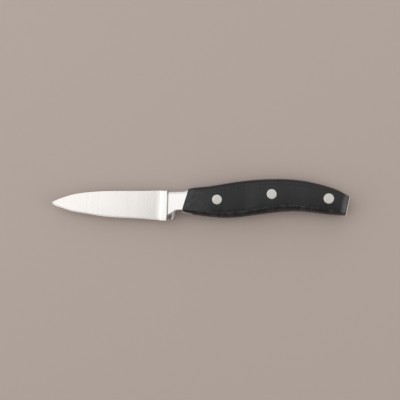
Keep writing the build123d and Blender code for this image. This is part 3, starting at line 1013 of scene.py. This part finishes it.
rivetShape = dict(
    places={"front": (11.11, 0.14, 6.6), "middle": (48.67, 3.87, 6.7), "rear": (87.86, 0.79, 7.0)},
    proud=0.012,             # the ground head above the scale beside it
    rim=0.10,                # small bevel round the head
    headShares=(0, 0.3, 0.6, 0.85),              # circles on the head, as shares of its radius
    rimSteps=[(1, 0), (0.4, 0.2), (0, 1)],       # points of the bevel: inwards and down, as shares of it
    clearance=0.03,
    holeRings=[(0.25, 0.0), (0.08, 0.0), (0.02, 0.02), (0.0, 0.06)],  # beyond the hole, and below the side
    seat=5.4,                # height of the counterbore's floor
    shank=1.4,
    sleeve=2.2,
    bore=1.42,
    pinEnd=-4.8,
    sleeveEnd=-4.9,
    boreFloor=5.4,
    around=96,
)
scaleShape = dict(
    floor=1.32,              # just above the tang's side
    endRound=7.5,            # length of the rounded rear end
    endLand=4.5,             # height at which it ends
    endSoft=0.2,             # corner where the rounding begins, and slope of the arc before it
    endRise=0.2,
    edgeRound=0.22,
    creaseEnd=100.4,         # x where the crease meets the butt
    ribsTurn=0.06,           # share of its length in which the ribs turn to the joint's slant
    # Rubbed wear and painted light on the rounded end, and painted light on the front of the handle and all
    # over the underside.
    endWearAndPaintedLight=0.8,
    endWearAndPaintedLightFades=(0.6, 8.0),         # distance to the butt
    frontPaintedLight=0.42,
    frontPaintedLightFades=(-10, 24),
    underPaintedLight=0.42,
    across=84,
    under=28,
    # columns, in millimetres along the crease: at the joint, along the lip (start, stop before its
    # end, count), at its end, then up to the rounded end (the same) and on it (length, turn, count)
    jointColumns=[0, 0.03, 0.07, 0.12, 0.17, 0.23, 0.32, 0.45, 0.65, 0.95, 1.35, 1.8],
    lipColumns=(2.3, 0.4, 8),
    stepColumns=[-0.02, 0.02, 0.3],
    middleColumns=(0.9, 7.0, 158),
    endColumns=(6.4, 0.08, 30),
)


# Side of a scale: the smaller one of the handle's height and an arc that falls towards the butt, with
# the corner between them rounded over. Before the arc begins a straight line rises from it.
def scaleZ(x, y):
    s = scaleShape
    run, fall = s["endRound"], sideShape["handleHalf"] - s["endLand"]
    radius = (run ** 2 + fall ** 2) / (2 * fall)
    ahead = run - buttDistance(x, y, outline["tangShows"])
    arc = np.sqrt(radius ** 2 - np.clip(ahead, 0, run) ** 2) - s["endRise"] * np.minimum(ahead, 0)
    return softMin(handleZ(x, y), sideShape["handleHalf"] - radius + arc, s["endSoft"])


# Places of a scale's columns along its crease, and which of them lie before the end of the lip.
def scaleColumns(length, lipPlace):
    s = scaleShape
    lipStart, lipStop, lipCount = s["lipColumns"]
    start, stop, count = s["middleColumns"]
    reach, turn, endCount = s["endColumns"]
    place = np.concatenate([
        s["jointColumns"],
        np.linspace(lipStart, lipPlace - lipStop, lipCount),
        lipPlace + np.array(s["stepColumns"]),
        np.linspace(lipPlace + start, length - stop, count),
        length - reach * (1 - np.sin(np.linspace(turn, 1, endCount) * np.pi / 2)),
    ])
    return place, place < lipPlace


# The counterbores of the rivets, as rings that run down from the side to the floor of each.
def scaleHoles():
    r, holes = rivetShape, []
    for holeX, holeY, diameter in r["places"].values():
        radius = diameter / 2 + r["clearance"]
        rings = [(radius + beyond, drop) for beyond, drop in r["holeRings"]]
        rings += [(radius, 0.0, r["seat"]), (tangShape["hole"], 0.0, r["seat"])]
        holes.append(((holeX, holeY), rings))
    return holes


# A scale's upper surface: one sheet from the back down to the crease and one from the crease to the
# belly, over the same columns. The first column follows the joint, the last one the butt.
def scalePatches():
    s, inset, gap = scaleShape, outline["tangShows"], joint["gap"]
    shift = np.array([gap, 0.0])
    startX, startY = jointLower[0] + shift
    lipX = lipFoot[0] + gap
    endY = float(bellyY(s["creaseEnd"]) + creaseInset(s["creaseEnd"]))
    length = buttX(endY, inset) - startX
    lipPlace = lipX - startX
    place, isLip = scaleColumns(length, lipPlace)
    share = place / length
    creaseX = startX + place
    crease = np.stack([creaseX, bellyY(creaseX) + creaseInset(creaseX)])
    crease[1, 0] = startY
    topX = jointUpper[0, 0] + gap + (outline["buttTop"][0] - inset - jointUpper[0, 0] - gap) * share
    top = np.stack([topX, backY(topX)])
    top[1, -1] = outline["buttTop"][1]
    down = crowded(s["across"])[:, None]
    x, y = top[:, None] + (crease - top)[:, None] * down
    seam = alongLine(jointUpper + shift, down[:, 0])
    straight = top[:, :1] + (crease[:, :1] - top[:, :1]) * down[:, 0]
    bend = (seam - straight)[:, :, None] * (1 - ease(share, 0, s["ribsTurn"]))
    x, y = x + bend[0], y + bend[1]
    toJoint = distanceTo(x, y, jointWhole + shift)
    z = scaleZ(x, y) - edgeDrop(toJoint, s["edgeRound"])
    toCrease = np.hypot(x - crease[0], y - crease[1])
    # Rubbed wear and a painted highlight along the crease, wear along the joint, rubbed wear and painted
    # light on the rounded end, and painted light on the front.
    wear = np.maximum(worn("scaleCreaseWearAndHighlight", toCrease), worn("scaleJoint", toJoint))
    wear = np.maximum(wear, s["endWearAndPaintedLight"] * (1 - ease(buttDistance(x, y, inset), *s["endWearAndPaintedLightFades"])))
    wear = np.maximum(wear, s["frontPaintedLight"] * (1 - ease(x, *s["frontPaintedLightFades"])))
    side = np.stack([x, y, z, wear])

    lip = alongLine(jointLower + shift, np.clip(place / lipPlace, 0, 1))
    belly = alongLine(bellyLine(lipX, inset), np.clip((place - lipPlace) / (length - lipPlace), 0, 1))
    low = np.where(isLip, lip, belly)
    x, y = crease[:, None] + (low - crease)[:, None] * (1 - crowdedAtStart(s["under"]))[:, None]
    z = scaleZ(x, y) - edgeDrop(distanceTo(x, y, jointWhole + shift), s["edgeRound"])
    z[-1] = side[2, -1]
    # Painted light all over the underside, a little more near the crease.
    wear = s["underPaintedLight"] + worn("underCreasePaintedLight", np.hypot(x - crease[0], y - crease[1]))
    return pierced(side, scaleHoles(), scaleZ) + [np.stack([x, y, z, wear])]


def makeScales():
    patches = [(part, 0) for part in scalePatches()]
    points, faces, kinds = closedShell(patches, lambda p: np.full(len(p), scaleShape["floor"]))
    for name, turn in (("upper", 1), ("lower", -1)):
        turned = points * np.array([1, 1, turn, 1])
        piece = makePiece("scale_" + name, turned, faces[:, ::turn], kinds, [handleBlack])
        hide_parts(name + "_scale")


# A closed form turned about a rivet's axis. A ring is a radius, a drop below the ground head and,
# where it doesn't follow the side of the handle, a height.
def turnedPiece(centre, rings):
    turn = np.linspace(0, 2 * np.pi, rivetShape["around"] + 1)[None]
    radius = np.array([ring[0] for ring in rings])[:, None]
    x, y = centre[0] + radius * np.cos(turn), centre[1] + radius * np.sin(turn)
    z = handleZ(x, y) + rivetShape["proud"] - np.array([ring[1] for ring in rings])[:, None]
    for row, ring in enumerate(rings):
        if len(ring) > 2:
            z[row] = ring[2]
    wear = worn("rivetRim", radius - radius.max()) + 0 * x
    return weld(np.stack([x, y, z, wear]).reshape(4, -1).T, cellCorners(np.arange(x.size).reshape(x.shape)))


def makeRivets():
    r = rivetShape
    for name, (x, y, diameter) in r["places"].items():
        radius, rim = diameter / 2, r["rim"]
        head = [(radius * share, 0.0) for share in r["headShares"]]
        head += [(radius - inwards * rim, down * rim) for inwards, down in r["rimSteps"]]
        head += [(radius, 0.0, r["seat"])]
        shank = [(r["shank"], 0.0, r["seat"]), (r["shank"], 0.0, r["pinEnd"]), (0.0, 0.0, r["pinEnd"])]
        tube = [
            (r["sleeve"], 0.0, r["seat"]), (r["sleeve"], 0.0, r["sleeveEnd"]),
            (r["bore"], 0.0, r["sleeveEnd"]), (r["bore"], 0.0, r["boreFloor"]), (0.0, 0.0, r["boreFloor"]),
        ]
        for kind, rings, turn in (("pin", head + shank, 1), ("sleeve", head + tube, -1)):
            points, faces = turnedPiece((x, y), rings)
            points, faces = points * np.array([1, 1, turn, 1]), faces[:, ::turn]
            label = "rivet_%s_%s" % (kind, name)
            piece = makePiece(label, points, faces, np.zeros(len(faces)), [steels["rivet"]])
            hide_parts("%s_rivet_%s" % (name, kind))


makeForging()
makeScales()
makeRivets()

# Places and sizes are in metres.
studio = dict(
    floor=(0.52, 0.44, 0.398, 1),
    floorSize=3.0,
    floorRough=0.85,
    floorGloss=0.2,
    worldDark=(0.20, 0.18, 0.165, 1),
    worldBright=(0.38, 0.38, 0.375, 1),
    worldFade=(-0.5, 0.5),
    brightSide=(-0.35, 0.75, 0.56),  # direction from which the world lights the knife
    softboxes=dict(
        overhead=dict(
            place=(-0.59, 0.31, 0.9), aim=(-0.59, 0.31, 0), size=(1.02, 1.18),
            radiance=0.70, tint=(1, 0.99, 0.985),
        ),
        beside=dict(
            place=(0.44, 0.21, 0.9), aim=(0.44, 0.21, 0), size=(1.04, 0.54),
            radiance=0.42, tint=(1, 0.985, 0.97),
        ),
        window=dict(
            place=(-1.45, 0.1, 0.62), aim=(0, 0.05, 0.3), size=(2.0, 1.2),
            radiance=0.84, tint=(0.96, 0.98, 1),
        ),
        back=dict(
            place=(0.0, 1.45, 0.75), aim=(0, 0, 0.05), size=(2.2, 1.0),
            radiance=0.5, tint=(1, 0.99, 0.98),
        ),
        right=dict(
            place=(1.1, -0.28, 0.62), aim=(0, 0, 0), size=(1.3, 1.0),
            radiance=0.88, tint=(1, 0.99, 0.98),
        ),
    ),
)
# The camera looks straight down, "middle" is in the knife's millimetres and "distance" in metres.
view = dict(middle=(-0.52, -0.2), distance=0.70, lens=90.8)


def makeFloor():
    half = studio["floorSize"] / 2
    corners = np.array([(-half, -half, 0), (half, -half, 0), (half, half, 0), (-half, half, 0)])
    mesh = bpy.data.meshes.new("floor")
    mesh.from_pydata(corners.tolist(), [], [(0, 1, 2, 3)])
    material = bpy.data.materials.new("pale_floor")
    material.use_nodes = True
    shader = material.node_tree.nodes["Principled BSDF"]
    shader.inputs["Base Color"].default_value = studio["floor"]
    shader.inputs["Roughness"].default_value = studio["floorRough"]
    shader.inputs["Specular IOR Level"].default_value = studio["floorGloss"]
    mesh.materials.append(material)
    floor = bpy.data.objects.new("floor", mesh)
    bpy.context.scene.collection.objects.link(floor)


# Power = 4 x area x radiance, so that a mirror shows the lamp at its radiance.
def addSoftbox(name, place, aim, size, radiance, tint):
    lamp = bpy.data.lights.new(name, "AREA")
    lamp.shape = "RECTANGLE"
    lamp.size, lamp.size_y = size
    lamp.energy = radiance * 4 * size[0] * size[1]
    lamp.color = tint
    holder = bpy.data.objects.new(name, lamp)
    holder.location = place
    holder.rotation_euler = (Vector(aim) - Vector(place)).to_track_quat("-Z", "Y").to_euler()
    bpy.context.scene.collection.objects.link(holder)


# World light: its colour goes from dark to bright with the cosine of the turn away from brightSide.
def makeWorld():
    world = bpy.data.worlds.new("studio")
    world.use_nodes = True
    tree = world.node_tree
    direction = addNode(tree, "TexCoord").outputs["Generated"]
    sides = {0: direction, 1: studio["brightSide"]}
    towards = addNode(tree, "VectorMath", sides, operation="DOT_PRODUCT").outputs["Value"]
    share = remap(tree, towards, *studio["worldFade"], kind="SMOOTHSTEP")
    colour = blendColours(tree, share, studio["worldDark"], studio["worldBright"])
    tree.links.new(colour, tree.nodes["Background"].inputs["Color"])
    bpy.context.scene.world = world


def makeCamera():
    camera = bpy.data.cameras.new("camera")
    camera.lens = view["lens"]
    holder = bpy.data.objects.new("camera", camera)
    holder.location = toFrame(np.array([*view["middle"], 0.0])) + np.array([0, 0, view["distance"]])
    bpy.context.scene.collection.objects.link(holder)
    bpy.context.scene.camera = holder


makeFloor()
makeWorld()
makeCamera()
for name, box in studio["softboxes"].items():
    addSoftbox(name, **box)
bpy.context.scene.view_settings.view_transform = "Standard"
print("stage: floor, lights and camera placed")
